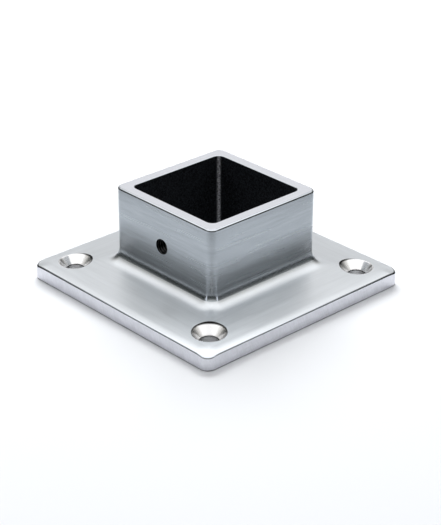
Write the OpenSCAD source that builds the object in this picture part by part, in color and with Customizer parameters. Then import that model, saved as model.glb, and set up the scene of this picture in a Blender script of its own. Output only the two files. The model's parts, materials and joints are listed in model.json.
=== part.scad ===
// A one-piece cast flange with a square socket that takes the end of a square rail tube.
// The origin is the centre of the flat underside, and +Z runs up the socket to its rim.

/* [Rail] */
// Width across the flats of the square rail tube
rail_w = 40; // [30:0.5:60]
// Radius of the rail tube's outer corners
rail_corner_r = 2.2; // [1.5:0.1:4]
// Gap between the rail and the socket wall on each side
rail_gap = 0.2; // [0.1:0.05:0.6]

/* [Socket] */
// Thickness of the socket's four walls
wall_t = 4.1; // [3:0.1:7]
// Height of the rim above the underside
socket_h = 35.3; // [28:0.1:60]
// Radius of the socket's upright outer corners
socket_corner_r = 2.8; // [1.6:0.1:4]
// Rounding of the rim's outer edge
rim_outer_r = 0.65; // [0.2:0.05:1]
// Rounding of the rim's inner edge
rim_inner_r = 0.3; // [0.1:0.05:0.6]

/* [Flange] */
// How far the flange stands out past the socket on each side
flange_reach = 20.7; // [19.5:0.1:40]
// Radius of the flange's upright corners
flange_corner_r = 3.3; // [2:0.1:8]
// Thickness of the flange along its edge
edge_t = 5.3; // [4:0.1:10]
// Fall of the top from the socket to the edge, in degrees
top_fall = 6.2; // [3:0.1:9]
// Width of the band along the edge that is rolled over
roll_w = 3; // [1.5:0.1:4.5]
// How far the rolled band drops below the sloping top
roll_drop = 0.45; // [0.2:0.05:0.8]
// Length of the softer roll at each corner, measured along the diagonal
corner_roll_w = 7.5; // [6:0.5:12]
// How far the corner roll drops below the hip
corner_roll_drop = 1.1; // [0.6:0.1:1.8]
// Rounding of the underside's outer edge
base_edge_r = 0.4; // [0.1:0.05:0.8]
// Radius of the fillet between the socket and the flange
root_r = 5; // [3:0.1:6]

/* [Fixing holes] */
// Distance from the flange's edges to the centre of each fixing hole
hole_inset = 10.5; // [9.5:0.1:11.5]
// Diameter of the fixing holes
hole_d = 6.5; // [4:0.1:8]
// Full diameter of the countersinks
sink_d = 11.9; // [9.5:0.1:12.5]
// Included angle of the countersinks, in degrees
sink_angle = 82; // [80:1:100]
// Depth of the straight wall above each countersink's cone, on the hole's centre line
sink_land = 0.15; // [0:0.05:0.4]

/* [Set screw] */
// Thread diameter of the set screw that clamps the rail
screw_d = 6; // [4:1:8]
// Thread pitch of the set screw
screw_pitch = 1; // [0.7:0.05:1.25]
// Distance from the rim down to the screw's centre
screw_below_rim = 14.2; // [9:0.1:17]
// Width of the chamfer at the mouth of the screw hole
screw_chamfer = 0.2; // [0.1:0.05:0.5]

/* [Hidden] */
$fn = 96;

steel = [0.72, 0.74, 0.76];

socket_in = rail_w + 2 * rail_gap;
socket_in_r = rail_corner_r + rail_gap;
socket_out = socket_in + 2 * wall_t;
flange_w = socket_out + 2 * flange_reach;
hole_pitch = flange_w - 2 * hole_inset;
screw_z = socket_h - screw_below_rim;
tap_r = (screw_d - screw_pitch) / 2;

// The hips run down the diagonals, from the crest above the centre to the flange's corners
crest_z = edge_t + roll_drop + flange_w / 2 * tan(top_fall);
hip_fall = atan(tan(top_fall) / sqrt(2));
hip_reach = flange_w / 2 * sqrt(2) - flange_corner_r * (sqrt(2) - 1);

// The root fillet ends this far under the flange's top, so that the two surfaces cross
root_sink = 0.02;
// The corner roll starts this far above the hip, so that the two surfaces cross
roll_lift = 0.03;
// How far a cutter runs past the surface that it cuts
past = 1;

function top_z(from_centre) = crest_z - from_centre * tan(top_fall);
function hip_z(from_centre) = crest_z - from_centre * tan(hip_fall);

// A square with round corners, centred on the origin
module round_square(side, corner_r) {
    inner = side - 2 * corner_r;
    square([side, inner], center = true);
    square([inner, side], center = true);
    for (x = [-1, 1], y = [-1, 1])
        translate([x * inner / 2, y * inner / 2]) circle(r = corner_r);
}

// Sweeps a section round an upright square with round corners.
// The section's x is measured outwards from the square's side, and its y is the height.
module round_square_sweep(side, corner_r) {
    inner = side - 2 * corner_r;
    for (quarter = [0:3]) rotate([0, 0, 90 * quarter]) {
        translate([side / 2, 0, 0]) rotate([90, 0, 0])
            linear_extrude(inner, center = true) children();
        translate([inner / 2, inner / 2, 0])
            rotate_extrude(angle = 90) translate([corner_r, 0]) children();
    }
}

// What is cut off a straight slope to roll its end over in an arc that is tangent to it.
// The arc starts at a distance roll before the end and reaches it a drop lower.
module roll_cut(end_x, end_z, fall, roll, drop) {
    start = [end_x - roll, end_z + roll * tan(fall)];
    chord = [roll, -roll * tan(fall) - drop];
    arc_r = norm(chord) ^ 2 / (2 * drop * cos(fall));
    difference() {
        polygon([start, start + [0, past], start + [roll + past, past], start + [roll + past, -arc_r]]);
        translate(start - arc_r * [sin(fall), cos(fall)]) circle(r = arc_r);
    }
}

// The flange's crowned section, seen along one of its sides
module flange_section() {
    half = flange_w / 2;
    difference() {
        polygon([[-half, 0], [half, 0], [half, top_z(half)], [0, crest_z], [-half, top_z(half)]]);
        for (side = [0, 1]) mirror([side, 0])
            roll_cut(half, top_z(half), top_fall, roll_w, roll_drop);
    }
}

// A plate with a shallow hipped top, rolled over along its edges and more softly at its corners
module flange() {
    difference() {
        intersection() {
            linear_extrude(crest_z + past) round_square(flange_w, flange_corner_r);
            intersection_for (turn = [0, 90]) rotate([90, 0, turn])
                linear_extrude(flange_w + 2 * past, center = true) flange_section();
        }
        rotate_extrude()
            roll_cut(hip_reach, hip_z(hip_reach) + roll_lift, hip_fall, corner_roll_w, corner_roll_drop);
        round_square_sweep(flange_w, flange_corner_r) base_edge_section();
    }
}

// What is cut away to round the underside's outer edge
module base_edge_section() {
    difference() {
        translate([-base_edge_r, -past]) square([base_edge_r + past, base_edge_r + past]);
        translate([-base_edge_r, base_edge_r]) circle(r = base_edge_r);
    }
}

// The four upright walls, solid until the rail's opening is cut
module socket() {
    difference() {
        linear_extrude(socket_h) round_square(socket_out, socket_corner_r);
        round_square_sweep(socket_out, socket_corner_r) difference() {
            translate([-rim_outer_r, socket_h - rim_outer_r]) square(rim_outer_r + past);
            translate([-rim_outer_r, socket_h - rim_outer_r]) circle(r = rim_outer_r);
        }
    }
}

// The fillet that blends the socket's walls into the sloping top
module root_fillet() {
    wall_x = socket_out / 2;
    centre_z = top_z(wall_x + root_r) + root_r / cos(top_fall) - root_sink;
    toe_x = root_r * (1 - sin(top_fall));
    round_square_sweep(socket_out, socket_corner_r) difference() {
        translate([-past, past]) square([past + toe_x, centre_z - past]);
        translate([root_r, centre_z]) circle(r = root_r);
    }
}

// The opening that the rail slides into, right through the flange, with its rim edge eased
module rail_opening() {
    translate([0, 0, -past])
        linear_extrude(socket_h + 2 * past) round_square(socket_in, socket_in_r);
    round_square_sweep(socket_in, socket_in_r) difference() {
        translate([-past, socket_h - rim_inner_r]) square([past + rim_inner_r, rim_inner_r + past]);
        translate([rim_inner_r, socket_h - rim_inner_r]) circle(r = rim_inner_r);
    }
}

// A fixing hole sunk straight down, so that its straight wall is deepest on the uphill side
module fixing_hole() {
    cone_top = hip_z(hole_pitch / 2 * sqrt(2)) - sink_land;
    sink_depth = (sink_d - hole_d) / 2 / tan(sink_angle / 2);
    top = cone_top + sink_land + past;
    rotate_extrude() polygon([
        [0, -past], [hole_d / 2, -past], [hole_d / 2, cone_top - sink_depth],
        [sink_d / 2, cone_top], [sink_d / 2, top], [0, top],
    ]);
}

// The tapped hole through the front wall, at its tapping size, with a chamfered mouth
module screw_hole() {
    translate([0, -socket_out / 2, screw_z]) rotate([-90, 0, 0]) {
        translate([0, 0, -past]) cylinder(r = tap_r, h = wall_t + 2 * past);
        translate([0, 0, -past])
            cylinder(r1 = tap_r + screw_chamfer + past, r2 = tap_r, h = screw_chamfer + past);
    }
}

module flanged_socket() {
    color(steel) difference() {
        union() {
            flange();
            socket();
            root_fillet();
        }
        rail_opening();
        screw_hole();
        for (x = [-1, 1], y = [-1, 1])
            translate([x * hole_pitch / 2, y * hole_pitch / 2, 0]) fixing_hole();
    }
}

flanged_socket();
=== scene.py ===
import json
import math

import bmesh
import bpy
import numpy as np
from bpy.props import FloatProperty, FloatVectorProperty, PointerProperty
from mathutils import Matrix, Quaternion, Vector
from mathutils.geometry import delaunay_2d_cdt


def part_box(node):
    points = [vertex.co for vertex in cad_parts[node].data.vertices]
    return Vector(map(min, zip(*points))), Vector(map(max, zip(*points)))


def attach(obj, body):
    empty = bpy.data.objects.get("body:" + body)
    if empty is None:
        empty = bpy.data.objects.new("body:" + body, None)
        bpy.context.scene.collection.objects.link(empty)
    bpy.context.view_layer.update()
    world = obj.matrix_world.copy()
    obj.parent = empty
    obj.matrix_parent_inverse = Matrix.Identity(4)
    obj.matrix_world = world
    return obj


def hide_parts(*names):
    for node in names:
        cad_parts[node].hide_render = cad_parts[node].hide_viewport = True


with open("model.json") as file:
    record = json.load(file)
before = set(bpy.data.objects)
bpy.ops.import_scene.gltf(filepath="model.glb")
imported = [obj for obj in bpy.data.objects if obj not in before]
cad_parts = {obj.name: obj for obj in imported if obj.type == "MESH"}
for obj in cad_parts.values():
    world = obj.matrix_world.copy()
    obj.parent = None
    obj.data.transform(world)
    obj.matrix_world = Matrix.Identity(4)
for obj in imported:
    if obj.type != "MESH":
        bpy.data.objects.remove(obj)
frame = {"record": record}

bl_info = {
    "name": "Cast Rail End Socket",
    "version": (1, 0, 0),
    "blender": (4, 5, 0),
    "location": "View3D > Sidebar > Rail Socket",
    "description": "Builds a cast stainless flanged socket for a square rail, with finishes and stage",
    "category": "Add Mesh",
}

MM = 0.001
NODE = "flanged_socket"
BODY = "root"
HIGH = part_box(NODE)[1]
MOUNTS = {mount["name"]: mount for mount in frame["record"]["mounts"]}
FIXING = MOUNTS["fixing_holes"]["dims"]
SCREW = MOUNTS["set_screw_hole"]

# Faces round a corner, along a side, round a fixing hole and round the set-screw hole
ARC, SIDE, HOLE, BORE = 12, 48, 64, 60
# The brush coordinates are a UV map in millimetres: along the brushing, then across it
BRUSH = "brush"
# How far each point of the as-cast skin may be roughened, from 0 to 1
CAST = "cast_skin"
# Points closer than this are one point
WELD = 0.001 * MM
# How far the graded card's apron lies over the floor
APRON_RISE = 0.2 * MM


# Sizes and colours

def length(name, description, default):
    """A length, with its default in millimetres."""
    return FloatProperty(name=name, description=description, default=default * MM, min=0,
                         unit="LENGTH", subtype="DISTANCE", precision=5)


def angle(name, description, default):
    """An angle, with its default in degrees."""
    return FloatProperty(name=name, description=description, default=math.radians(default),
                         unit="ROTATION", subtype="ANGLE", precision=4)


def colour(name, description, default):
    """A colour, with its default as an sRGB hex value."""
    return FloatVectorProperty(name=name, description=description, default=linear(default),
                               size=4, min=0, max=1, subtype="COLOR")


def linear(hex_value):
    """An sRGB hex value such as b4b8bd as linear red, green, blue and alpha."""
    parts = [int(hex_value[at:at + 2], 16) / 255 for at in (0, 2, 4)]
    return [p / 12.92 if p <= 0.04045 else ((p + 0.055) / 1.055) ** 2.4 for p in parts] + [1.0]


class SocketSizes(bpy.types.PropertyGroup):
    opening: length("Opening", "Width of the square opening", 40.4)
    opening_corner: length("Opening corner", "Radius of the opening's corners", 2.4)
    wall: length("Wall", "Thickness of the walls", 4.1)
    corner: length("Corner", "Radius of the walls' upright outer corners", 2.8)
    rim_outer: length("Rim outer edge", "Rounding of the rim's outer edge", 0.65)
    rim_inner: length("Rim inner edge", "Rounding of the rim's inner edge", 0.3)
    foot: length("Foot of the fillet", "How far the root fillet reaches out from the wall", 4.5)


class FlangeSizes(bpy.types.PropertyGroup):
    edge: length("Edge", "Thickness along the edge", 5.3)
    corner: length("Corner", "Radius of the upright corners", 3.3)
    fall: angle("Fall", "Fall of the top from the socket to the edge", 6.2)
    roll: length("Roll", "Width of the band that is rolled over along each edge", 3)
    roll_drop: length("Roll drop", "How far the roll drops below the slope", 0.45)
    corner_roll: length("Corner roll", "Length of the softer roll down each corner", 7.5)
    corner_roll_drop: length("Corner roll drop", "How far the corner roll drops", 1.07)
    hip: length("Hip", "Difference in height over which the hips are softened", 0.2)
    arris: length("Arris", "Easing of the sharp edges", 0.38)
    base_edge: length("Base edge", "Rounding of the underside's outer edge", 0.4)


class HoleSizes(bpy.types.PropertyGroup):
    sink: length("Countersink", "Full diameter of the countersinks", 11.9)
    sink_angle: angle("Countersink angle", "Included angle of the countersinks", 82)
    land: length("Land", "Depth of the straight wall above the cone, on the centre line", 0.15)
    arris: length("Arris", "Easing of the holes' edges", 0.18)
    pitch: length("Pitch", "Pitch of the set screw's thread", 1)
    thread: length("Thread depth", "Depth of the set screw's thread", 0.5)
    mouth: length("Mouth", "Width of the chamfer at the set-screw hole's mouth", 0.2)


class CastSkin(bpy.types.PropertyGroup):
    grain: length("Grain", "Size of the as-cast lumps inside the socket", 0.9)
    depth: length("Depth", "Depth of the as-cast pits inside the socket", 0.14)
    seed: FloatProperty(name="Seed", description="Picks the pattern of the pits", default=3)


class FinishColours(bpy.types.PropertyGroup):
    # The walls' tint is darker than the flange's as painted shade: both are the same linished steel
    walls: colour("Walls", "Linished walls", "b8bfc5")
    flange: colour("Flange", "Linished flange top", "dfe3e7")
    rim: colour("Rim", "Ground rim", "d6d8de")
    edges: colour("Edges", "Ground sides of the flange", "e8e9ef")
    arrises: colour("Arrises", "Eased edges", "bcc1c7")
    turned: colour("Turned steel", "Countersinks and bores", "dadadb")
    cast: colour("Cast skin", "As-cast inside", "30343a")


class StageSettings(bpy.types.PropertyGroup):
    paper: colour("Paper", "Floor", "dcdee1")
    strip: colour("Strip cards", "Two narrow cards beside the camera", "e8e8ee")
    dark: colour("Dark card", "Foot of the graded card round the camera's side", "1f2321")
    light: colour("Light card", "Head of the graded card", "f6f4ee")
    camera_turn: angle("Camera turn", "Direction of the camera, from +X towards +Y", -42.862)
    camera_rise: angle("Camera rise", "Rise of the camera over the floor", 26.951)
    camera_roll: angle("Camera roll", "Roll of the camera", 0.173)
    camera_away: length("Camera distance", "Distance from the camera to its target", 569.907)
    target: FloatVectorProperty(name="Target", description="Point that the camera looks at",
                                default=(0.002646, -0.000117, 0.007937), subtype="TRANSLATION", precision=5)
    focal: FloatProperty(name="Focal length", description="Focal length of the camera", default=113.2,
                         min=1, unit="CAMERA")


# The casting's shape

def outline(half, corner):
    """A square with round corners, anticlockwise from the foot of the corner between +X and +Y."""
    inner = half - corner
    points = []
    for quarter in range(4):
        turn = Matrix.Rotation(quarter * math.pi / 2, 2)
        for step in range(ARC):
            at = step / ARC * math.pi / 2
            points.append(turn @ Vector((inner + corner * math.cos(at), inner + corner * math.sin(at))))
        for step in range(SIDE):
            points.append(turn @ Vector((inner * (1 - 2 * step / SIDE), half)))
    return points


def ring(half, corner, height):
    """A square with round corners at a height, which is a number or a function of the place."""
    level = height if callable(height) else lambda x, y: height
    return [Vector((x, y, level(x, y))) for x, y in outline(half, corner)]


def columns(quarter):
    """The places in a ring of the straight side that follows a quarter's corner."""
    first = quarter * (ARC + SIDE) + ARC
    return range(first, first + SIDE)


def soft_min(a, b, width):
    """The lower of two heights, blended where they differ by less than width."""
    near = max(width - abs(a - b), 0) / width
    return min(a, b) - near * near * width / 4


def flange_top(flange):
    """The height of the hipped, rolled-over top, as a function of the place."""
    half = HIGH.x
    fall = math.tan(flange.fall)
    crest = flange.edge + flange.roll_drop + half * fall
    hip_reach = half * math.sqrt(2) - flange.corner * (math.sqrt(2) - 1)

    def slope(reach, end, fall, roll, drop):
        past = max(reach - end + roll, 0) / roll
        return crest - reach * fall - drop * past * past

    def height(x, y):
        sides = [slope(abs(at), half, fall, flange.roll, flange.roll_drop) for at in (x, y)]
        corner = slope(math.hypot(x, y), hip_reach, fall / math.sqrt(2),
                       flange.corner_roll, flange.corner_roll_drop)
        return soft_min(soft_min(*sides, flange.hip), corner + flange.hip / 4, flange.hip / 2)

    return height


def bend(start, corner, end, steps):
    """Points of a curve that leaves start and reaches end on the lines to the corner between them."""
    return [start.lerp(corner, t).lerp(corner.lerp(end, t), t) for t in (k / steps for k in range(steps + 1))]


def rings_between(starts, corners, ends, steps):
    """The rings of an edge that is rounded from one ring to another."""
    return list(zip(*(bend(*three, steps) for three in zip(starts, corners, ends))))


def rings_along(starts, ends, steps):
    """The rings of a flat band from one ring to another."""
    return [[a.lerp(b, k / steps) for a, b in zip(starts, ends)] for k in range(steps + 1)]


def inside(points, loops):
    """Which points lie inside an odd number of the loops."""
    found = np.zeros(len(points), bool)
    x, y = np.array(points, float).T
    for loop in loops:
        for (ax, ay), (bx, by) in zip(loop, loop[1:] + loop[:1]):
            if ay == by:
                continue
            crosses = (ay > y) != (by > y)
            found ^= crosses & (x < ax + (y - ay) * (bx - ax) / (by - ay))
    return found


def distance_to(loops, points):
    """How far each point is from the nearest of the loops."""
    nearest = np.full(len(points), np.inf)
    for loop in loops:
        for start, end in zip(loop, loop[1:] + loop[:1]):
            a, side = np.array(start[:]), np.array(end[:]) - np.array(start[:])
            along = np.clip((points - a) @ side / (side @ side), 0, 1)
            nearest = np.minimum(nearest, np.hypot(*(points - a - along[:, None] * side).T))
    return nearest


class Skin:
    """The faces of a surface, each with the number of its finish."""

    def __init__(self):
        self.points, self.faces, self.finishes = [], [], []

    def strip(self, rings, finish, gap=()):
        """Joins each ring to the next, all round apart from a gap."""
        start, count = len(self.points), len(rings[0])
        for row in rings:
            self.points += row
        for row in range(len(rings) - 1):
            for at in range(count):
                if at not in gap:
                    a, b = start + row * count + at, start + row * count + (at + 1) % count
                    self.faces.append((a, b, b + count, a + count))
                    self.finishes.append(finish)

    def fill(self, loops, spacing, place, finish):
        """Fills the flat region between loops with triangles, and puts each point in its place."""
        low, high = np.min(loops[0], 0), np.max(loops[0], 0)
        across, up = (np.arange(low[k] + spacing / 2, high[k], spacing) for k in (0, 1))
        grid = np.array([(x, y) for x in across for y in up])
        grid = grid[inside(grid, loops) & (distance_to(loops, grid) > 0.5 * spacing)]
        points = [Vector(point[:]) for loop in loops for point in loop] + [Vector(point) for point in grid]
        edges, first = [], 0
        for loop in loops:
            edges += [(first + k, first + (k + 1) % len(loop)) for k in range(len(loop))]
            first += len(loop)
        whole_hull, tolerance = 0, 1e-9
        flat, _, triangles, *_ = delaunay_2d_cdt(points, edges, [], whole_hull, tolerance)
        corners = np.array([[flat[k][:] for k in three] for three in triangles])
        sides = corners[:, 1:] - corners[:, :1]
        area = abs(np.linalg.det(sides)) / 2
        start = len(self.points)
        self.points += [place(*point) for point in flat]
        for three, kept in zip(triangles, inside(corners.mean(1), loops) & (area > WELD * WELD)):
            if kept:
                self.faces.append(tuple(start + k for k in three))
                self.finishes.append(finish)

    def mesh(self, name, materials):
        """The surface as a mesh object with all the finishes."""
        mesh = bpy.data.meshes.new(name)
        mesh.from_pydata(self.points, [], self.faces)
        for material in materials:
            mesh.materials.append(material)
        mesh.polygons.foreach_set("material_index", self.finishes)
        piece = bpy.data.objects.new(name, mesh)
        bpy.context.scene.collection.objects.link(piece)
        return piece


def root_rings(wall, corner, foot, top, steps=12):
    """The rings of the fillet from the wall down to the flange's top, tangent to both."""
    rings = [[] for _ in range(steps + 1)]
    probe = 0.1 * MM
    for start, toe in zip(outline(wall, corner), ring(wall + foot, corner + foot, top)):
        out = (toe.xy - start).normalized()
        tilt = math.atan((toe.z - top(*(toe.xy + out * probe))) / probe)
        radius = foot / (1 - math.sin(tilt))
        for step, row in enumerate(rings):
            turn = step / steps * (math.pi / 2 - tilt)
            at = start + out * radius * (1 - math.cos(turn))
            row.append(Vector((*at, toe.z + radius * (math.cos(tilt) - math.sin(turn)))))
    return rings


def edge_rings(half, corner, turned_in, height, drop, steps=5):
    """The rings of a quarter round from a wall to a level face; turned_in is 1 or -1 for its side."""
    size, rings = abs(drop), []
    for at in (k / steps * math.pi / 2 for k in range(steps + 1)):
        aside = turned_in * size * (1 - math.cos(at))
        rings.append(ring(half - aside, corner - aside, height + drop * math.sin(at)))
    return rings


def window(rings, gap):
    """The loop of points round a gap in a strip that faces -Y, seen from the front."""
    first, last = gap[0], gap[-1] + 1
    loop = rings[0][first:last] + [row[last] for row in rings]
    loop += rings[-1][last - 1:first:-1] + [row[first] for row in reversed(rings)]
    return [(p.x, p.z) for p in loop[:-1]]


def fixing_hole(holes, top):
    """The rings of the first fixing hole: eased edge, straight wall, cone, bore and eased lower edge."""
    centre = Vector((FIXING["spacing_x_mm"], FIXING["spacing_y_mm"])) / 2 * MM
    full, bore, eased = holes.sink / 2, FIXING["hole_r_mm"] * MM, holes.arris
    slant = math.tan(holes.sink_angle / 2)
    cone_top = top(*centre) - holes.land
    cone_foot = Vector((bore, cone_top - (full - bore) / slant))
    columns_round = []
    for step in range(HOLE):
        out = Vector((math.cos(step / HOLE * math.tau), math.sin(step / HOLE * math.tau)))
        reach = full
        # Downhill the top cuts into the cone, so the mouth is narrower there
        for _ in range(8):
            reach = full - max(cone_top - top(*(centre + out * reach)), 0) * slant
        mouth = Vector((reach, top(*(centre + out * reach))))
        outside = Vector((reach + eased, top(*(centre + out * (reach + eased)))))
        knee = Vector((reach, max(min(mouth.y, cone_top), cone_foot.y)))
        below = knee if mouth.y - knee.y > eased else knee.lerp(cone_foot, eased / (knee - cone_foot).length)
        start = mouth.lerp(knee, min(eased / max(mouth.y - knee.y, WELD), 1)) if below is knee else below
        cone_end = cone_foot.lerp(knee, eased / (knee - cone_foot).length)
        profile = bend(outside, mouth, start, 4) + [below.lerp(cone_end, k / 6) for k in range(7)]
        profile += bend(cone_end, cone_foot, cone_foot - Vector((0, eased)), 3)
        profile += bend(Vector((bore, eased)), Vector((bore, 0)), Vector((bore + eased, 0)), 3)
        columns_round.append([Vector((*(centre + out * p.x), p.y)) for p in profile])
    return [list(row) for row in zip(*columns_round)]


def screw_hole(holes, wall, depth):
    """The rings of the tapped hole through the wall that faces -Y, with its chamfer and its thread."""
    minor, middle = SCREW["dims"]["r_mm"] * MM, SCREW["pos_m"][2]
    steps_a_turn = 12
    rows = round(depth / holes.pitch * steps_a_turn)
    rings = []
    for row in range(rows + 1):
        deep = row / rows * depth
        circle = []
        for step in range(BORE):
            part = step / BORE
            phase = (deep / holes.pitch + part) % 1
            # Straight flanks, with crests about a sixth of the pitch wide and roots half as wide
            groove = min(max(1.3 * (1 - abs(2 * phase - 1)) - 0.2, 0), 1)
            radius = max(minor + holes.thread * groove, minor + holes.mouth - deep)
            turn = part * math.tau
            circle.append(Vector((radius * math.cos(turn), -wall + deep, middle + radius * math.sin(turn))))
        rings.append(circle)
    return rings


def quarter_turns(loop):
    """A flat loop, repeated round the axis at every quarter turn."""
    return [[Matrix.Rotation(k * math.pi / 2, 2) @ point.xy for point in loop] for k in range(4)]


# The numbers of the casting's finishes, in the order of its materials
WALLS, FLANGE, EDGES, RIM, ARRISES, TAPPED, UNDERSIDE = range(7)


def casting_skin(socket, flange, holes):
    """The whole surface of the casting apart from its fixing holes."""
    skin, top = Skin(), flange_top(flange)
    opening, half, rim = socket.opening / 2, HIGH.x, HIGH.z
    wall, eased = opening + socket.wall, flange.arris
    # How far apart the points lie in the front wall, the as-cast inside, the top and the underside
    front_gap, cast_gap, top_gap, base_gap = (gap * MM for gap in (4, 0.75, 1.2, 5))
    cast_rows = 46

    root = root_rings(wall, socket.corner, socket.foot, top)
    walls = rings_along(root[0], ring(wall, socket.corner, rim - socket.rim_outer), 8)
    inner_corner = socket.opening_corner
    inner = rings_along(ring(opening, inner_corner, rim - socket.rim_inner),
                        ring(opening, inner_corner, eased), cast_rows)
    outer_rim = edge_rings(wall, socket.corner, 1, rim - socket.rim_outer, socket.rim_outer)
    inner_rim = edge_rings(opening, inner_corner, -1, rim - socket.rim_inner, socket.rim_inner, 4)
    front = columns(2)
    tapped = screw_hole(holes, wall, socket.wall)
    # The fillet's upper rows take the walls' darker tint, as painted shade, and the rest take the flange's
    skin.strip(root[:6], WALLS)
    skin.strip(root[5:], FLANGE)
    skin.strip(walls, WALLS, gap=front)
    skin.fill([window(walls, front), [(p.x, p.z) for p in tapped[0]]], front_gap,
              lambda x, z: Vector((x, -wall, z)), WALLS)
    skin.strip(outer_rim, ARRISES)
    skin.strip(rings_along(outer_rim[-1], inner_rim[-1], 3), RIM)
    skin.strip(inner_rim, ARRISES)
    skin.strip(inner, WALLS, gap=front)
    skin.fill([window(inner, front), [(p.x, p.z) for p in tapped[-1]]], cast_gap,
              lambda x, z: Vector((x, -opening, z)), WALLS)
    skin.strip(tapped, TAPPED)

    def rolled(inset):
        return half - inset, flange.corner + 0.6 * inset

    # The rows of the rolled edge close up outwards
    insets = [inset * MM for inset in (3.3, 2.7, 2.1, 1.6, 1.1, 0.7, 0.4)] + [eased]
    brink = ring(half, flange.corner, top)
    under_brink = [point - Vector((0, 0, eased)) for point in brink]
    base = flange.base_edge
    hole = fixing_hole(holes, top)
    skin.fill([outline(*rolled(insets[0])), outline(wall + socket.foot, socket.corner + socket.foot),
               *quarter_turns(hole[0])], top_gap, lambda x, y: Vector((x, y, top(x, y))), FLANGE)
    rolls = [ring(*rolled(inset), top) for inset in insets]
    skin.strip(rolls, FLANGE)
    skin.strip([list(row) for row in rings_between(rolls[-1], brink, under_brink, 4)], ARRISES)
    skin.strip(rings_along(under_brink, ring(half, flange.corner, base), 3), EDGES)
    skin.strip(edge_rings(half, flange.corner, 1, base, -base), EDGES)
    skin.strip(edge_rings(opening, inner_corner, -1, eased, -eased, 3), UNDERSIDE)
    skin.fill([outline(half - base, flange.corner - base), outline(opening + eased, inner_corner + eased),
               *quarter_turns(hole[-1])], base_gap, lambda x, y: Vector((x, y, 0)), UNDERSIDE)
    return skin


# Node helpers

def add(tree, kind, settings=None, inputs=None):
    """Adds a node with its settings; each input is a value, or the output that is linked to it."""
    node = tree.nodes.new(kind)
    for name, value in (settings or {}).items():
        setattr(node, name, value)
    for name, value in (inputs or {}).items():
        if isinstance(value, bpy.types.NodeSocket):
            tree.links.new(value, node.inputs[name])
        else:
            node.inputs[name].default_value = value
    return node


def calculate(tree, operation, *values):
    """The result of a Math node."""
    return add(tree, "ShaderNodeMath", {"operation": operation}, dict(enumerate(values))).outputs[0]


def geometry_tree(name, inputs):
    """A Geometry Nodes tree with named inputs, and its group input."""
    tree = bpy.data.node_groups.new(name, "GeometryNodeTree")
    for label, kind in {"Geometry": "NodeSocketGeometry", **inputs}.items():
        tree.interface.new_socket(name=label, in_out="INPUT", socket_type=kind)
    tree.interface.new_socket(name="Geometry", in_out="OUTPUT", socket_type="NodeSocketGeometry")
    return tree, add(tree, "NodeGroupInput").outputs


def finish_tree(tree, geometry, material, selection=True):
    """Ends a tree: its instances are made real and given their finish."""
    real = add(tree, "GeometryNodeRealizeInstances", inputs={"Geometry": geometry})
    dressed = add(tree, "GeometryNodeSetMaterial", inputs={
        "Geometry": real.outputs[0], "Selection": selection, "Material": material})
    output = add(tree, "NodeGroupOutput")
    tree.links.new(dressed.outputs[0], output.inputs[0])
    return tree


def apply_tree(piece, tree, values):
    """Runs a tree on a piece and keeps the result as its plain mesh."""
    modifier = piece.modifiers.new(tree.name, "NODES")
    modifier.node_group = tree
    for item in tree.interface.items_tree:
        if item.in_out == "INPUT" and item.name in values:
            modifier[item.identifier] = values[item.name]
    keep_result(piece)


def keep_result(piece):
    """Replaces a piece's mesh by what its modifiers make of it, and removes them."""
    evaluated = piece.evaluated_get(bpy.context.evaluated_depsgraph_get())
    mesh = bpy.data.meshes.new_from_object(evaluated)
    piece.modifiers.clear()
    piece.data = mesh


def pattern_tree():
    """Repeats a piece round the Z axis."""
    tree, given = geometry_tree("Round the socket", {
        "Count": "NodeSocketInt", "Finish": "NodeSocketMaterial"})
    points = add(tree, "GeometryNodeMeshLine", {"mode": "OFFSET"}, {
        "Count": given["Count"], "Offset": (0, 0, 0)})
    step = calculate(tree, "DIVIDE", math.tau, given["Count"])
    turn = calculate(tree, "MULTIPLY", add(tree, "GeometryNodeInputIndex").outputs[0], step)
    euler = add(tree, "ShaderNodeCombineXYZ", inputs={"Z": turn})
    rotation = add(tree, "FunctionNodeEulerToRotation", inputs={0: euler.outputs[0]})
    copies = add(tree, "GeometryNodeInstanceOnPoints", inputs={
        "Points": points.outputs[0], "Instance": given["Geometry"], "Rotation": rotation.outputs[0]})
    return finish_tree(tree, copies.outputs[0], given["Finish"])


def cast_skin_tree():
    """Pits the as-cast skin, always into the metal, by its own attribute."""
    tree, given = geometry_tree("As-cast skin", {
        "Grain": "NodeSocketFloat", "Depth": "NodeSocketFloat", "Seed": "NodeSocketFloat",
        "Finish": "NodeSocketMaterial"})
    amount = add(tree, "GeometryNodeInputNamedAttribute", {"data_type": "FLOAT"}, {"Name": CAST}).outputs[0]
    noise = add(tree, "ShaderNodeTexNoise", {"noise_dimensions": "4D"}, {
        "Vector": add(tree, "GeometryNodeInputPosition").outputs[0], "W": given["Seed"],
        "Scale": calculate(tree, "DIVIDE", 1.0, given["Grain"]), "Detail": 3.0, "Roughness": 0.6})
    deep = calculate(tree, "MULTIPLY", noise.outputs[0], given["Depth"])
    into = calculate(tree, "MULTIPLY", calculate(tree, "MULTIPLY", deep, amount), -1.0)
    normal = add(tree, "GeometryNodeInputNormal").outputs[0]
    offset = add(tree, "ShaderNodeVectorMath", {"operation": "SCALE"}, {0: normal, "Scale": into})
    pitted = add(tree, "GeometryNodeSetPosition", inputs={
        "Geometry": given["Geometry"], "Offset": offset.outputs[0]})
    chosen = add(tree, "FunctionNodeCompare", {"operation": "GREATER_THAN"}, {0: amount, 1: 0.0})
    return finish_tree(tree, pitted.outputs[0], given["Finish"], chosen.outputs[0])


# Material helpers

def blank_material(name):
    """A new material with nothing in its node tree."""
    material = bpy.data.materials.new(name)
    material.use_nodes = True
    material.node_tree.nodes.clear()
    return material


def show(tree, shader, kind="ShaderNodeOutputMaterial"):
    """Ends a tree with its shader."""
    output = add(tree, kind)
    tree.links.new(shader.outputs[0], output.inputs[0])


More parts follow.
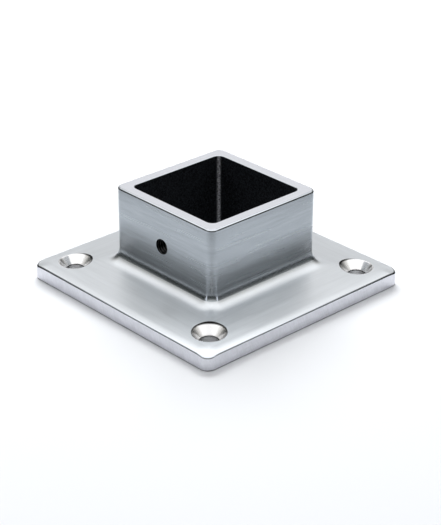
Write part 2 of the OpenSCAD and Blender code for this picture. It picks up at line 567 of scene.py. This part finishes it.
def mixed(tree, share, first, second):
    """A colour on the way from the first to the second."""
    return add(tree, "ShaderNodeMix", {"data_type": "RGBA"}, {0: share, 6: first, 7: second}).outputs[2]


def mapped(tree, value, start, end, low=0.0, high=1.0):
    """A value's way from start to end, as a number from low to high."""
    return add(tree, "ShaderNodeMapRange", inputs={
        "Value": value, "From Min": start, "From Max": end, "To Min": low, "To Max": high}).outputs[0]


def spread(tree, pattern, low, high):
    """A pattern's middle range, spread from one value to another."""
    return mapped(tree, pattern, 0.3, 0.7, low, high)


def shaded(tint, share):
    """A colour at a share of its brightness."""
    return tuple(share * part for part in tint[:3]) + (1.0,)


def place_along(tree, direction):
    """How far each point of the object lies from the origin, in a direction."""
    place = add(tree, "ShaderNodeTexCoord").outputs["Object"]
    return add(tree, "ShaderNodeVectorMath", {"operation": "DOT_PRODUCT"}, {
        0: place, 1: direction}).outputs["Value"]


def facing_up(tree):
    """How far each point faces up: 1 on a level top, 0 on a wall and -1 on the underside."""
    normal = add(tree, "ShaderNodeNewGeometry").outputs["Normal"]
    return add(tree, "ShaderNodeSeparateXYZ", inputs={0: normal}).outputs["Z"]


def streaks(tree, length_mm, width_mm, turn=0.0):
    """A pattern of streaks along the brushing, of a real length and width in millimetres."""
    place = add(tree, "ShaderNodeUVMap", {"uv_map": BRUSH}).outputs[0]
    turned = add(tree, "ShaderNodeVectorRotate", {"rotation_type": "Z_AXIS"}, {
        "Vector": place, "Angle": turn})
    scaled = add(tree, "ShaderNodeVectorMath", {"operation": "MULTIPLY"}, {
        0: turned.outputs[0], 1: (1 / length_mm, 1 / width_mm, 1.0)})
    noise = add(tree, "ShaderNodeTexNoise", inputs={
        "Vector": scaled.outputs[0], "Scale": 1.0, "Detail": 2.0, "Roughness": 0.6})
    return noise.outputs[0]


def brushed_metal(name, tint, roughness, across, fine, broad, depth_mm, turn=0.0, shade=0.12):
    """Metal with fine and broad streaks, each given by its length and width in millimetres.

    The light spreads further across them by across, and shade is how much they darken the tint.
    """
    material = blank_material(name)
    tree = material.node_tree
    fine_streaks, broad_streaks = streaks(tree, *fine, turn), streaks(tree, *broad, turn)
    tones = [spread(tree, pattern, 1 - shade / 2, 1) for pattern in (fine_streaks, broad_streaks)]
    bump = add(tree, "ShaderNodeBump", inputs={
        "Strength": 1.0, "Distance": depth_mm * MM, "Height": fine_streaks})
    tangent = add(tree, "ShaderNodeTangent", {"direction_type": "UV_MAP", "uv_map": BRUSH})
    shader = add(tree, "ShaderNodeBsdfPrincipled", inputs={
        "Base Color": mixed(tree, calculate(tree, "MULTIPLY", *tones), shaded(tint, 0.4), tuple(tint)),
        "Metallic": 1.0, "Roughness": spread(tree, broad_streaks, roughness * 0.9, roughness * 1.1),
        "Anisotropic": across, "Anisotropic Rotation": 0.25,
        "Normal": bump.outputs[0], "Tangent": tangent.outputs[0]})
    show(tree, shader)
    return material


def painted_shade(material, value, span, share):
    """Paints shade on a metal: darkens it to a share of its brightness at the start of a value's span, and
    not at its end.
    """
    tree = material.node_tree
    base = next(node for node in tree.nodes if node.type == "BSDF_PRINCIPLED").inputs["Base Color"]
    bright = base.links[0].from_socket
    tones = mixed(tree, mapped(tree, value, *span, share), (0.0, 0.0, 0.0, 1.0), bright)
    tree.links.new(tones, base)
    return material


# Finishes

def satin_walls(colours):
    """Linished stainless: belt lines run level round the socket, so reflections smear up and down."""
    material = brushed_metal("linished_stainless_walls", colours.walls, roughness=0.26, across=0.5,
                             fine=(18, 1.1), broad=(45, 3), depth_mm=0.0004, shade=0.5)
    # Painted shade darkens a band round the foot of the walls. The band ends 11 mm above its middle,
    # and a quarter of that below it.
    tree, middle = material.node_tree, 13 * MM
    above = calculate(tree, "SUBTRACT", place_along(tree, (0, 0, 1)), middle)
    apart = calculate(tree, "MAXIMUM", above, calculate(tree, "MULTIPLY", above, -4.0))
    return painted_shade(material, apart, (0.0, 11 * MM), share=0.58)


def satin_flange(colours):
    """Linished stainless: on the flange the belt lines run along each side."""
    material = brushed_metal("linished_stainless_flange", colours.flange, roughness=0.38, across=0.6,
                             fine=(16, 1.0), broad=(40, 3), depth_mm=0.0003, shade=0.22)
    # Painted light: the rest of the flange is darkened, so the corner nearest the camera stands brighter
    nearer = place_along(material.node_tree, (1, -1, 0))
    return painted_shade(material, nearer, (52 * MM, 78 * MM), share=0.8)


def ground_edges(colours):
    """Ground stainless: coarse grinding ticks run across the edge and scatter light evenly."""
    material = brushed_metal("ground_stainless_edges", colours.edges, roughness=0.45, across=0.4,
                             fine=(3, 0.5), broad=(5, 3), depth_mm=0.006, turn=0.35, shade=0.3)
    # Painted shade darkens the rounding under the sides, and draws a thin line along the floor
    return painted_shade(material, facing_up(material.node_tree), (-0.5, -0.1), share=0.1)


def ground_rim(colours):
    """Ground stainless: a fine, nearly even grind."""
    return brushed_metal("ground_stainless_rim", colours.rim, roughness=0.32, across=0.3,
                         fine=(6, 0.3), broad=(12, 2), depth_mm=0.001)


def eased_arrises(colours):
    """Stainless edges rubbed over by hand: smoother than the faces, so they reflect thin dark lines, and
    painted shade darkens these further.
    """
    material = brushed_metal("eased_stainless_arrises", colours.arrises, roughness=0.16, across=0.0,
                             fine=(6, 0.5), broad=(12, 2), depth_mm=0.0005)
    # Painted shade makes the lines darkest at the flange's left and right corners, as the camera sees them
    tree = material.node_tree
    aside = calculate(tree, "ABSOLUTE", place_along(tree, (1, 1, 0)))
    painted_shade(material, aside, (84 * MM, 30 * MM), share=0.22)
    # Painted shade also darkens the parts of the arrises that face sideways
    return painted_shade(material, facing_up(tree), (0.5, 0.8), share=0.5)


def turned_bores(colours):
    """Machined stainless: bright turned cones, with painted shade that darkens the bores a little and the
    straight walls much more.
    """
    material = brushed_metal("turned_stainless_bores", colours.turned, roughness=0.27, across=0.7,
                             fine=(20, 0.5), broad=(20, 1.6), depth_mm=0.0008)
    tree = material.node_tree
    height = place_along(tree, (0, 0, 1))
    # Painted shade darkens the bores below the cones a little
    painted_shade(material, height, (2.9 * MM, 3.3 * MM), share=0.8)
    # Painted shade darkens the upright walls above the cones, and just below the cones' feet
    deep = mapped(tree, height, 3.1 * MM, 3.3 * MM, 1.0, 0.0)
    painted_shade(material, calculate(tree, "ADD", facing_up(tree), deep), (0.2, 0.5), share=0.06)
    # Painted shade darkens the cones' upper edge, most of all on the uphill side
    return painted_shade(material, height, (6.6 * MM, 6.3 * MM), share=0.1)


def ground_underside(colours):
    """Flat-ground stainless: straight, fairly coarse grinding lines across the whole face."""
    return brushed_metal("ground_stainless_underside", colours.flange, roughness=0.4, across=0.5,
                         fine=(25, 0.4), broad=(60, 4), depth_mm=0.003)


def tapped_thread(colours):
    """Cut stainless thread, painted dark as shade in the hole: dull crests, and flanks and roots nearly
    black.
    """
    material = blank_material("tapped_stainless_thread")
    tree = material.node_tree
    from_axis = add(tree, "ShaderNodeCombineXYZ", inputs={
        "X": place_along(tree, (1, 0, 0)),
        "Z": calculate(tree, "SUBTRACT", place_along(tree, (0, 0, 1)), SCREW["pos_m"][2])})
    radius = add(tree, "ShaderNodeVectorMath", {"operation": "LENGTH"}, {0: from_axis.outputs[0]})
    minor = SCREW["dims"]["r_mm"] * MM
    deep = mapped(tree, radius.outputs["Value"], minor + 0.02 * MM, minor + 0.07 * MM)
    shader = add(tree, "ShaderNodeBsdfPrincipled", inputs={
        "Base Color": mixed(tree, deep, shaded(colours.turned, 0.1), shaded(colours.cast, 0.04)),
        "Metallic": 1.0, "Roughness": 0.3})
    show(tree, shader)
    return material


def cast_skin_metal(colours):
    """As-cast stainless with its dark mould scale: rough and nearly black, with a painted highlight down the
    upright corners.
    """
    material = blank_material("as_cast_stainless_scale")
    tree = material.node_tree
    place = add(tree, "ShaderNodeTexCoord").outputs["Object"]
    grit = add(tree, "ShaderNodeTexNoise", inputs={
        "Vector": place, "Scale": 1 / (0.5 * MM), "Detail": 3.0, "Roughness": 0.65}).outputs[0]
    scale = mixed(tree, spread(tree, grit, -0.2, 1), shaded(colours.cast, 0.08), shaded(colours.cast, 1.3))
    # The upright corners start where the lesser of |x| and |y| passes 18.8 mm
    lesser = calculate(tree, "MINIMUM", *(
        calculate(tree, "ABSOLUTE", place_along(tree, direction)) for direction in ((1, 0, 0), (0, 1, 0))))
    corner = mapped(tree, lesser, 18.8 * MM, 19.4 * MM, 0.0, 0.9)
    # Painted highlight: a light stripe down the upright corners, broken by the grit
    corner_highlight = calculate(tree, "MULTIPLY", corner, spread(tree, grit, 0.1, 1))
    bump = add(tree, "ShaderNodeBump", inputs={"Strength": 0.6, "Distance": 0.1 * MM, "Height": grit})
    shader = add(tree, "ShaderNodeBsdfPrincipled", inputs={
        "Base Color": mixed(tree, corner_highlight, scale, tuple(colours.edges)), "Metallic": 0.9,
        "Roughness": spread(tree, grit, 0.85, 0.5), "Normal": bump.outputs[0]})
    show(tree, shader)
    return material


# Joining and finishing the casting

def weld(piece):
    """Joins the surface's parts along their shared edges and points every face outwards."""
    surface = bmesh.new()
    surface.from_mesh(piece.data)
    bmesh.ops.remove_doubles(surface, verts=surface.verts, dist=WELD)
    bmesh.ops.dissolve_degenerate(surface, edges=surface.edges, dist=WELD / 10)
    bmesh.ops.recalc_face_normals(surface, faces=surface.faces)
    if any(not edge.is_manifold for edge in surface.edges):
        raise RuntimeError("The casting has open edges")
    surface.to_mesh(piece.data)
    surface.free()


def mark_cast_skin(mesh, socket, low):
    """Gives each point of the opening's walls its share of the as-cast roughness, less near an edge."""
    fade = 0.8 * MM
    opening = socket.opening / 2
    top = HIGH.z - socket.rim_inner
    share = mesh.attributes.new(CAST, "FLOAT", "POINT")
    for vertex, value in zip(mesh.vertices, share.data):
        reach = max(abs(vertex.co.x), abs(vertex.co.y))
        if reach < opening + WELD:
            value.value = min(max(min(top - vertex.co.z, vertex.co.z - low), 0) / fade, 1)


def round_walls(x, y, quarter, half, corner):
    """How far a point lies along the walls' outline from the middle of the back, and how far outside it."""
    inner = half - corner
    across, along = Matrix.Rotation(-quarter * math.pi / 2, 2) @ Vector((y, -x))
    side = 2 * inner + corner * math.pi / 2
    if along < inner:
        at, beyond = along, across - half
    elif across < inner:
        at, beyond = side - across, along - half
    else:
        at = inner + corner * math.atan2(along - inner, across - inner)
        beyond = math.hypot(along - inner, across - inner) - corner
    return quarter * side + at, beyond


def brush_coordinates(mesh, socket):
    """Writes where each point lies along and across the brushing of its own finish."""
    names = [material.name for material in mesh.materials]
    half = socket.opening / 2 + socket.wall
    layer = mesh.uv_layers.new(name=BRUSH)
    hole_x, hole_y = (FIXING[key] / 2 * MM for key in ("spacing_x_mm", "spacing_y_mm"))
    bore = FIXING["hole_r_mm"] * MM
    for face in mesh.polygons:
        finish = names[face.material_index]
        centre, normal = face.center, face.normal
        to_x = abs(normal.x) > abs(normal.y) if "edges" in finish else abs(centre.x) > abs(centre.y)
        quarter = int(math.atan2(-centre.x, centre.y) % math.tau // (math.pi / 2))
        for loop in face.loop_indices:
            x, y, z = mesh.vertices[mesh.loops[loop].vertex_index].co
            along, reach = (y, abs(x)) if to_x else (x, abs(y))
            if "walls" in finish:
                at, beyond = round_walls(x, y, quarter, half, socket.corner)
                at = at, z - beyond
            elif "edges" in finish:
                at = z, along
            elif "bores" in finish:
                middle = math.atan2(abs(centre.y) - hole_y, abs(centre.x) - hole_x)
                turn = math.atan2(abs(y) - hole_y, abs(x) - hole_x)
                turn = middle + (turn - middle + math.pi) % math.tau - math.pi
                at = turn * bore, z - math.hypot(abs(x) - hole_x, abs(y) - hole_y)
            else:
                at = along, reach
            layer.data[loop].uv = at[0] / MM, at[1] / MM
    return layer


def smooth(piece):
    """Shades the piece smooth, with flat faces kept flat up to their rounded edges."""
    piece.data.polygons.foreach_set("use_smooth", [True] * len(piece.data.polygons))
    piece.data.set_sharp_from_angle(angle=math.radians(35))
    weighted = piece.modifiers.new("Weighted Normal", "WEIGHTED_NORMAL")
    weighted.mode = "FACE_AREA"
    weighted.keep_sharp = True
    keep_result(piece)


# Operators

def settings():
    """The sizes and colours in the scene."""
    return bpy.context.scene.rail_socket


class RAILSOCKET_OT_casting(bpy.types.Operator):
    """Adds the casting's own surface: flange, fillet, socket, rim, opening and tapped hole"""
    bl_idname = "rail_socket.casting"
    bl_label = "Casting"

    def execute(self, context):
        given = settings()
        skin = casting_skin(given.socket, given.flange, given.holes)
        finishes = (satin_walls, satin_flange, ground_edges, ground_rim, eased_arrises, tapped_thread,
                    ground_underside)
        skin.mesh("casting", [finish(given.colours) for finish in finishes])
        return {"FINISHED"}


class RAILSOCKET_OT_fixing_holes(bpy.types.Operator):
    """Adds the four countersunk fixing holes' surfaces, one repeated round the socket"""
    bl_idname = "rail_socket.fixing_holes"
    bl_label = "Fixing holes"

    def execute(self, context):
        given = settings()
        skin = Skin()
        skin.strip(fixing_hole(given.holes, flange_top(given.flange)), 0)
        turned = turned_bores(given.colours)
        holes = skin.mesh("fixing_holes", [turned])
        apply_tree(holes, pattern_tree(), {"Count": FIXING["count"], "Finish": turned})
        return {"FINISHED"}


class RAILSOCKET_OT_finish(bpy.types.Operator):
    """Welds the surfaces into one casting, pits its as-cast skin and gives it its place in the frame"""
    bl_idname = "rail_socket.finish"
    bl_label = "Weld and finish"

    def execute(self, context):
        given = settings()
        casting, holes = (bpy.data.objects[name] for name in ("casting", "fixing_holes"))
        with context.temp_override(active_object=casting, object=casting,
                                   selected_editable_objects=[casting, holes]):
            bpy.ops.object.join()
        weld(casting)
        mark_cast_skin(casting.data, given.socket, given.flange.arris)
        skin = given.skin
        apply_tree(casting, cast_skin_tree(), {
            "Grain": skin.grain, "Depth": skin.depth, "Seed": skin.seed,
            "Finish": cast_skin_metal(given.colours)})
        brush_coordinates(casting.data, given.socket)
        smooth(casting)
        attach(casting, BODY)
        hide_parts(NODE)
        return {"FINISHED"}


# Stage

def shown_share(tree):
    """1 for the camera and for what metal and glass show of the stage, and 0 for plain light."""
    rays = add(tree, "ShaderNodeLightPath").outputs
    seen = calculate(tree, "MAXIMUM", rays["Is Camera Ray"], rays["Is Glossy Ray"])
    return calculate(tree, "MAXIMUM", seen, rays["Is Transmission Ray"])


def paper_floor(paper):
    """Matt white paper: it keeps the shadow, and shows as white where it is fully lit."""
    material = blank_material("white_paper_floor")
    tree = material.node_tree
    show(tree, add(tree, "ShaderNodeBsdfDiffuse", inputs={"Color": tuple(paper)}))
    return material


def glowing_card(dark, light, low, high, strength=1.0):
    """Card that glows like a lamp, dark at its foot and light at its head."""
    material = blank_material("graded_card")
    tree = material.node_tree
    share = add(tree, "ShaderNodeMapRange", {"interpolation_type": "SMOOTHSTEP"}, {
        "Value": place_along(tree, (0, 0, 1)), "From Min": low, "From Max": high}).outputs[0]
    show(tree, add(tree, "ShaderNodeEmission", inputs={
        "Color": mixed(tree, share, tuple(dark), tuple(light)), "Strength": strength}))
    return material


def stage_piece(name, points, faces, material):
    """A piece of the stage, which isn't part of the object."""
    mesh = bpy.data.meshes.new(name)
    mesh.from_pydata(points, [], faces)
    mesh.materials.append(material)
    piece = bpy.data.objects.new(name, mesh)
    bpy.context.scene.collection.objects.link(piece)
    return piece


def aim(thing, place, target, roll=0.0):
    """Puts a lamp or camera in its place, looking at a point."""
    thing.location = place
    turn = (Vector(target) - Vector(place)).to_track_quat("-Z", "Y") @ Quaternion((0, 0, 1), roll)
    thing.rotation_euler = turn.to_euler()


def softbox(name, width, depth, place, radiance):
    """A rectangular softbox as bright as radiance, where 1 is white."""
    lamp = bpy.data.lights.new(name, "AREA")
    lamp.shape, lamp.size, lamp.size_y = "RECTANGLE", width, depth
    lamp.energy = radiance * math.pi * width * depth
    box = bpy.data.objects.new(name, lamp)
    bpy.context.scene.collection.objects.link(box)
    box.location = place
    return box


def lights(turn):
    """Level softboxes over the object, and one behind it that gives its shadow on the floor."""
    towards = Vector((math.cos(turn), math.sin(turn), 0))
    near, far, across, height, fill_rise = 0.78, 0.85, 2.1, 0.9, 0.02
    middle = towards * (near - far) / 2 + Vector((0, 0, height))
    above = middle + Vector((0, 0, fill_rise))
    over = softbox("overhead_softbox", near + far, across, middle, radiance=0.85)
    # Metal shows the first softbox alone, because the two together would be brighter than white
    fill = softbox("overhead_fill", near + far, across, above, radiance=0.2)
    fill.visible_glossy = False
    over.rotation_euler = fill.rotation_euler = (0, 0, turn)

    rise, aside = math.radians(45), math.radians(5.5)
    behind = softbox("rear_softbox", 0.7, 0.7, Vector((0, 0, 0)), radiance=8.8)
    behind.visible_glossy = False
    level = Matrix.Rotation(aside, 2) @ towards.xy
    aim(behind, Vector((0, 0, math.sin(rise))) - level.to_3d() * math.cos(rise), (0, 0, 0))


def graded_card(stage, apron, radius, half_arc, top):
    """A graded card with an apron, round the camera's side of the stage, where only metal shows it."""
    steps = 48
    points, faces = [], []
    for step in range(steps + 1):
        turn = stage.camera_turn + half_arc * (2 * step / steps - 1)
        profile = (apron, APRON_RISE), (radius, APRON_RISE), (radius, radius * math.tan(top))
        points += [(away * math.cos(turn), away * math.sin(turn), z) for away, z in profile]
    for at in range(0, 3 * steps, 3):
        faces += [(at, at + 1, at + 4, at + 3), (at + 1, at + 2, at + 5, at + 4)]
    dark_up_to, light_from = 16, 37
    low, high = (radius * math.tan(math.radians(rise)) for rise in (dark_up_to, light_from))
    graded = glowing_card(stage.dark, stage.light, low, high, strength=1.35)
    return [stage_piece("graded_card", points, faces, graded)]


def strip_cards(stage, radius, height):
    """Two bright upright strips, left and right of the camera, that draw light lines down upright corners."""
    near_edge, far_edge = 59, 68
    cards = []
    for side in (-1, 1):
        turns = [stage.camera_turn + side * math.radians(edge) for edge in (near_edge, far_edge)]
        feet = [Vector((math.cos(turn), math.sin(turn), 0)) * radius for turn in turns]
        heads = [foot + Vector((0, 0, height)) for foot in feet]
        bright = glowing_card(stage.strip, stage.strip, 0, height, strength=3.4)
        cards.append(stage_piece("strip_card", feet + heads, [(0, 1, 3, 2)], bright))
    return cards


def white_surround(plain):
    """The surround: plain light on the object, and white where it is seen or mirrored."""
    world = bpy.data.worlds.new("white_surround")
    bpy.context.scene.world = world
    world.use_nodes = True
    tree = world.node_tree
    tree.nodes.clear()
    light = add(tree, "ShaderNodeBackground", inputs={
        "Color": (1, 1, 1, 1), "Strength": mapped(tree, shown_share(tree), 0.0, 1.0, plain)})
    show(tree, light, "ShaderNodeOutputWorld")


def photo_camera(stage):
    """The camera, at the photograph's viewing angle."""
    lens = bpy.data.cameras.new("camera")
    lens.lens, lens.sensor_width, lens.clip_start = stage.focal, 36, 0.01
    camera = bpy.data.objects.new("camera", lens)
    bpy.context.scene.collection.objects.link(camera)
    level, turn = math.cos(stage.camera_rise), stage.camera_turn
    away = Vector((level * math.cos(turn), level * math.sin(turn), math.sin(stage.camera_rise)))
    target = Vector(stage.target)
    aim(camera, target + away * stage.camera_away, target, stage.camera_roll)
    bpy.context.scene.camera = camera


class RAILSOCKET_OT_stage(bpy.types.Operator):
    """Adds the floor, the lights, the white surround and the camera"""
    bl_idname = "rail_socket.stage"
    bl_label = "Stage"

    def execute(self, context):
        stage = settings().stage
        reach, card_away = 4.0, 1.8
        corners = [(-reach, -reach, 0), (reach, -reach, 0), (reach, reach, 0), (-reach, reach, 0)]
        stage_piece("floor", corners, [(0, 1, 2, 3)], paper_floor(stage.paper))
        lights(stage.camera_turn)
        cards = graded_card(stage, apron=0.12, radius=card_away, half_arc=math.radians(145),
                            top=math.radians(38))
        cards += strip_cards(stage, radius=card_away - 0.1, height=0.8)
        for card in cards:
            card.visible_camera = card.visible_diffuse = card.visible_shadow = False
        white_surround(plain=0.12)
        photo_camera(stage)
        context.scene.view_settings.view_transform = "Standard"
        return {"FINISHED"}


class RailSocket(bpy.types.PropertyGroup):
    socket: PointerProperty(type=SocketSizes)
    flange: PointerProperty(type=FlangeSizes)
    holes: PointerProperty(type=HoleSizes)
    skin: PointerProperty(type=CastSkin)
    colours: PointerProperty(type=FinishColours)
    stage: PointerProperty(type=StageSettings)


class RAILSOCKET_PT_panel(bpy.types.Panel):
    bl_label = "Rail Socket"
    bl_space_type = "VIEW_3D"
    bl_region_type = "UI"
    bl_category = "Rail Socket"

    def draw(self, context):
        for step in STEPS:
            self.layout.operator(step.bl_idname)


STEPS = (RAILSOCKET_OT_casting, RAILSOCKET_OT_fixing_holes, RAILSOCKET_OT_finish, RAILSOCKET_OT_stage)
CLASSES = (SocketSizes, FlangeSizes, HoleSizes, CastSkin, FinishColours, StageSettings, RailSocket,
           *STEPS, RAILSOCKET_PT_panel)


def register():
    for each in CLASSES:
        bpy.utils.register_class(each)
    bpy.types.Scene.rail_socket = PointerProperty(type=RailSocket)


def unregister():
    del bpy.types.Scene.rail_socket
    for each in reversed(CLASSES):
        bpy.utils.unregister_class(each)


def main():
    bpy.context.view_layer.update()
    register()
    for step in STEPS:
        group, name = step.bl_idname.split(".")
        getattr(getattr(bpy.ops, group), name)()


if __name__ == "__main__":
    main()
